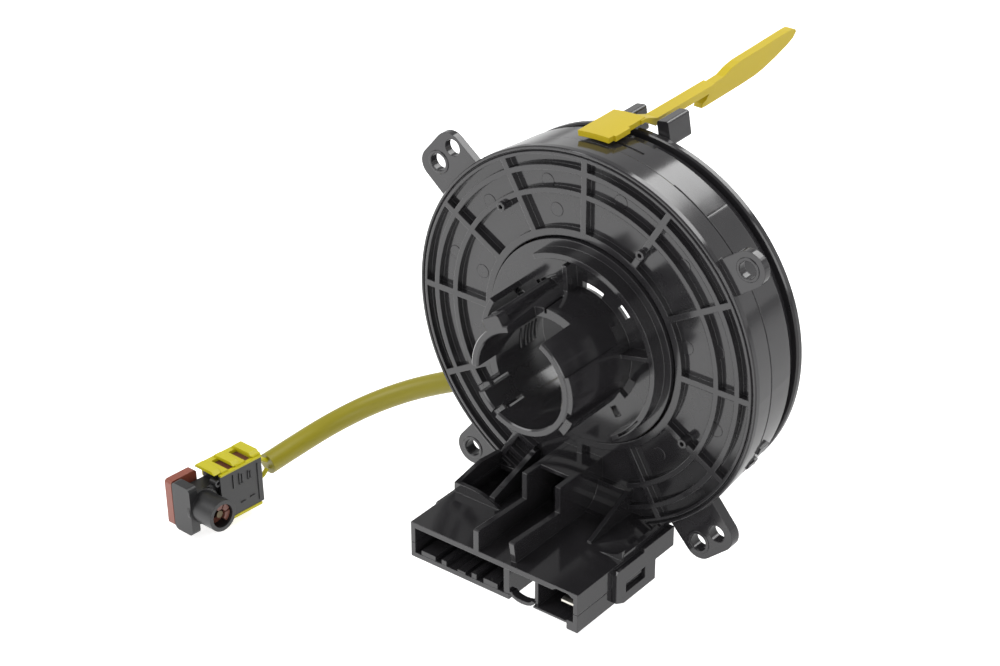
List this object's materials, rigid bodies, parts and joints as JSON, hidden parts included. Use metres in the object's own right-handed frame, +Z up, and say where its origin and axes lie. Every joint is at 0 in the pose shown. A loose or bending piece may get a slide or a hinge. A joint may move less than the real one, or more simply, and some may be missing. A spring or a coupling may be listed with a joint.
{
  "type": "steering clock spring",
  "caption": "Rotary electrical coupling for a steering column: ribbed round housing with slotted hub sleeve, plug block, fixing lugs, squib lead and yellow transport lock tab.",
  "frame": {"origin": "on the column axis, in the plane of the ribbed cover face", "axes": "+Y along the column axis towards the steering wheel, +Z up towards the lock tab, +X to the right seen from the column"},
  "size_m": [0.1929, 0.1649, 0.1569],
  "materials": {
    "housing_plastic": "satin black moulding",
    "tinned_contact": "tinned",
    "brass_contact": "plain",
    "ribbon_film": "film",
    "slip_film": "film",
    "yellow_sheath": "satin",
    "yellow_wire": "satin",
    "yellow_plastic": "satin",
    "plug_plastic": "satin dark grey",
    "brown_plastic": "satin",
    "orange_plastic": "satin"
  },
  "bodies": {
    "stator": {"column_cover": "housing_plastic", "outer_case": "housing_plastic", "connector_base": "housing_plastic", "left_terminals": "tinned_contact", "right_terminals": "tinned_contact", "blade_contact": "tinned_contact", "stator_lead_frame": "housing_plastic", "outer_joint_block": "housing_plastic", "flat_cable": "ribbon_film", "front_slip_sheet": "slip_film"},
    "rotor": {"hub_sleeve": "housing_plastic", "rotor_disc": "housing_plastic", "rear_slip_sheet": "slip_film", "inner_joint_block": "housing_plastic", "wheel_socket": "housing_plastic", "wheel_terminals": "tinned_contact", "rotor_lead_frame": "housing_plastic", "lead_exit": "housing_plastic", "lead_sheath": "yellow_sheath", "lead_wires": "yellow_wire", "squib_body": "plug_plastic", "squib_clip": "yellow_plastic", "squib_insert": "brown_plastic", "squib_contacts": "brass_contact"},
    "lock_tab": {"lock_tab": "yellow_plastic"},
    "squib_lock": {"squib_lock": "orange_plastic"}
  },
  "joints": [
    {"name": "rotor_turn", "type": "hinge", "parent": "stator", "child": "rotor", "pos_m": [0, 0, 0], "axis": [0, 1, 0], "range_deg": [-900, 900]},
    {"name": "lock_tab_pull", "type": "slide", "parent": "rotor", "child": "lock_tab", "axis": [0, 1, 0], "range_m": [0, 0.03]},
    {"name": "squib_lock_slide", "type": "slide", "parent": "rotor", "child": "squib_lock", "axis": [-0.9942, 0.0953, -0.0488], "range_m": [0, 0.0025]}
  ]
}
